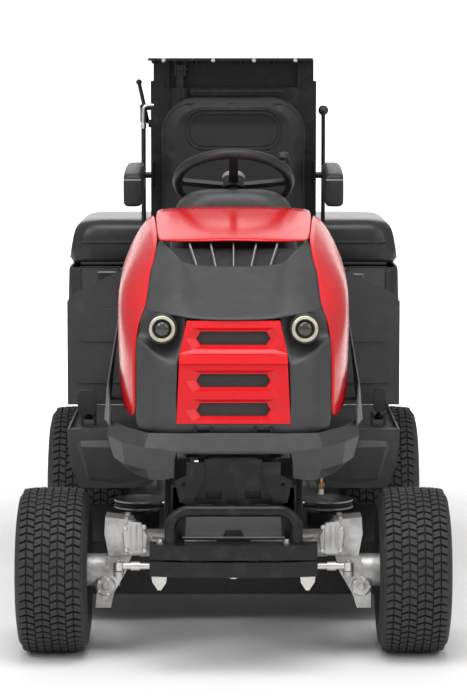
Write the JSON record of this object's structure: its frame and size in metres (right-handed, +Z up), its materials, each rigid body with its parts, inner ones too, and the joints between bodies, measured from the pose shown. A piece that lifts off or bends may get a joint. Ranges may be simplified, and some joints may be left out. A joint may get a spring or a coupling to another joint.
{
  "type": "riding lawn mower",
  "caption": "Ride-on lawn mower: red hood, driven front axle, bumper hoop, high-back seat with arm rests and high-lift rear grass catcher.",
  "frame": {"origin": "on the ground, centred across the mower, at the middle of its overall length", "axes": "+Z up, the mower's front towards -Y, the rider's left towards +X"},
  "size_m": [1.058, 2.47, 1.462],
  "materials": {
    "tyre": "matte rubber",
    "rim_paint": "satin",
    "black_paint": "satin",
    "zinc_plate": "satin",
    "cast_alloy": "as cast",
    "grey_link": "satin",
    "red_panel": "gloss",
    "grey_panel": "grained",
    "black_mesh": "satin",
    "lamp_glass": "clear",
    "black_plastic": "satin",
    "silencer_steel": "heat dulled",
    "belt_rubber": "matte",
    "cast_iron": "as cast",
    "tank_plastic": "satin",
    "light_grey_trim": "satin",
    "seat_vinyl": "grained vinyl",
    "blade_steel": "ground",
    "cylinder_paint": "gloss",
    "catcher_plastic": "grained"
  },
  "bodies": {
    "chassis": {"chassis_frame": "black_paint", "bumper_beam": "black_paint", "bumper_hoop": "black_paint", "bumper_hardware": "zinc_plate", "nose_bracket": "black_paint", "engine_block": "cast_alloy", "engine_cowl": "black_plastic", "silencer": "silencer_steel", "traction_belt": "belt_rubber", "hydraulic_pump": "cast_iron", "fuel_tank": "tank_plastic", "battery": "black_plastic", "rear_drives": "cast_iron", "front_skirt": "grey_panel", "side_panels": "grey_panel", "foot_rests": "grey_panel", "rear_body": "grey_panel", "wing_fittings": "black_plastic", "dash_console": "grey_panel", "grass_duct": "black_plastic", "mast_frame": "black_paint", "lift_barrel": "cylinder_paint", "hose_fittings": "zinc_plate", "hydraulic_hose": "belt_rubber"},
    "front_axle": {"front_axle_casting": "cast_alloy"},
    "gear_case_right": {"final_case_right": "cast_alloy"},
    "gear_case_left": {"final_case_left": "cast_alloy"},
    "track_rod": {"tie_rod": "grey_link"},
    "front_wheel_right": {"front_tyre_right": "tyre", "front_rim_right": "rim_paint"},
    "front_wheel_left": {"front_tyre_left": "tyre", "front_rim_left": "rim_paint"},
    "rear_wheel_right": {"rear_tyre_right": "tyre", "rear_rim_right": "rim_paint"},
    "rear_wheel_left": {"rear_tyre_left": "tyre", "rear_rim_left": "rim_paint"},
    "hood": {"hood_cover": "red_panel", "nose_panel": "grey_panel", "grille": "red_panel", "grille_mesh": "black_mesh", "headlamps": "lamp_glass"},
    "steering": {"steering_wheel": "black_plastic", "steering_trim": "light_grey_trim"},
    "seat": {"seat_frame": "black_paint", "seat_cushion": "seat_vinyl", "seat_back": "seat_vinyl"},
    "arm_right": {"arm_rest_right": "grey_panel"},
    "arm_left": {"arm_rest_left": "grey_panel"},
    "drive_pedal": {"pedal_right": "black_plastic"},
    "brake_pedal": {"pedal_left": "black_plastic"},
    "lever": {"dump_lever": "zinc_plate", "lever_knob": "black_plastic"},
    "deck": {"deck_shell": "black_paint", "deck_belt": "belt_rubber"},
    "cutter_right": {"blade_right": "blade_steel"},
    "cutter_left": {"blade_left": "blade_steel"},
    "carriage": {"lift_carriage": "black_paint", "lift_rod": "zinc_plate"},
    "catcher": {"catcher_box": "catcher_plastic", "catcher_cover": "catcher_plastic"}
  },
  "joints": [
    {"name": "axle_rock", "type": "hinge", "parent": "chassis", "child": "front_axle", "pos_m": [0, -0.945, 0.29], "axis": [0, 1, 0], "range_deg": [-4, 4]},
    {"name": "steer_left", "type": "hinge", "parent": "front_axle", "child": "gear_case_left", "pos_m": [0.28, -0.945, 0.205], "axis": [0, 0, 1], "range_deg": [-30, 30]},
    {"name": "steer_right", "type": "hinge", "parent": "front_axle", "child": "gear_case_right", "pos_m": [-0.28, -0.945, 0.205], "axis": [0, 0, 1], "range_deg": [-30, 30]},
    {"name": "tie_rod_pivot", "type": "hinge", "parent": "gear_case_left", "child": "track_rod", "pos_m": [0.28, -1.035, 0.228], "axis": [0, 0, 1], "range_deg": [-30, 30]},
    {"name": "steering_turn", "type": "hinge", "parent": "chassis", "child": "steering", "pos_m": [0, -0.205, 1.129], "axis": [0, 0.515, 0.8572], "range_deg": [-240, 240]},
    {"name": "front_right_spin", "type": "hinge", "parent": "gear_case_right", "child": "front_wheel_right", "pos_m": [-0.4415, -0.945, 0.203], "axis": [1, 0, 0], "continuous": true},
    {"name": "front_left_spin", "type": "hinge", "parent": "gear_case_left", "child": "front_wheel_left", "pos_m": [0.4415, -0.945, 0.203], "axis": [1, 0, 0], "continuous": true},
    {"name": "rear_right_spin", "type": "hinge", "parent": "chassis", "child": "rear_wheel_right", "pos_m": [-0.414, 0.255, 0.2285], "axis": [1, 0, 0], "continuous": true},
    {"name": "rear_left_spin", "type": "hinge", "parent": "chassis", "child": "rear_wheel_left", "pos_m": [0.414, 0.255, 0.2285], "axis": [1, 0, 0], "continuous": true},
    {"name": "hood_open", "type": "hinge", "parent": "chassis", "child": "hood", "pos_m": [0, -1.11, 0.574], "axis": [1, 0, 0], "range_deg": [0, 55]},
    {"name": "seat_tilt", "type": "hinge", "parent": "chassis", "child": "seat", "pos_m": [0, 0.015, 0.712], "axis": [1, 0, 0], "range_deg": [0, 45]},
    {"name": "arm_right_fold", "type": "hinge", "parent": "seat", "child": "arm_right", "pos_m": [-0.286, 0.43, 1.12], "axis": [-1, 0, 0], "range_deg": [0, 95]},
    {"name": "arm_left_fold", "type": "hinge", "parent": "seat", "child": "arm_left", "pos_m": [0.286, 0.43, 1.12], "axis": [-1, 0, 0], "range_deg": [0, 95]},
    {"name": "drive_pedal_press", "type": "hinge", "parent": "chassis", "child": "drive_pedal", "pos_m": [-0.381, -0.465, 0.524], "axis": [1, 0, 0], "range_deg": [0, 12], "stiffness_Nm_per_rad": 6},
    {"name": "brake_pedal_press", "type": "hinge", "parent": "chassis", "child": "brake_pedal", "pos_m": [0.381, -0.465, 0.524], "axis": [1, 0, 0], "range_deg": [0, 12], "stiffness_Nm_per_rad": 6},
    {"name": "dump_lever_pull", "type": "hinge", "parent": "chassis", "child": "lever", "pos_m": [0.266, 0.517, 0.8], "axis": [1, 0, 0], "range_deg": [0, 7]},
    {"name": "lift_slide", "type": "slide", "parent": "chassis", "child": "carriage", "axis": [0, 0, 1], "range_m": [0, 0.58]},
    {"name": "catcher_tip", "type": "hinge", "parent": "carriage", "child": "catcher", "pos_m": [0, 0.667, 0.935], "axis": [1, 0, 0], "range_deg": [0, 78]},
    {"name": "deck_height", "type": "slide", "parent": "chassis", "child": "deck", "axis": [0, 0, 1], "range_m": [-0.045, 0.015]},
    {"name": "cutter_right_spin", "type": "hinge", "parent": "deck", "child": "cutter_right", "pos_m": [-0.252, -0.315, 0.268], "axis": [0, 0, 1], "continuous": true},
    {"name": "cutter_left_spin", "type": "hinge", "parent": "deck", "child": "cutter_left", "pos_m": [0.252, -0.315, 0.268], "axis": [0, 0, 1], "continuous": true}
  ],
  "couplings": [
    {"joint": "steer_right", "follows": "steer_left", "ratio": 1},
    {"joint": "tie_rod_pivot", "follows": "steer_left", "ratio": -1},
    {"joint": "steering_turn", "follows": "steer_left", "ratio": 8},
    {"joint": "cutter_left_spin", "follows": "cutter_right_spin", "ratio": 1}
  ]
}
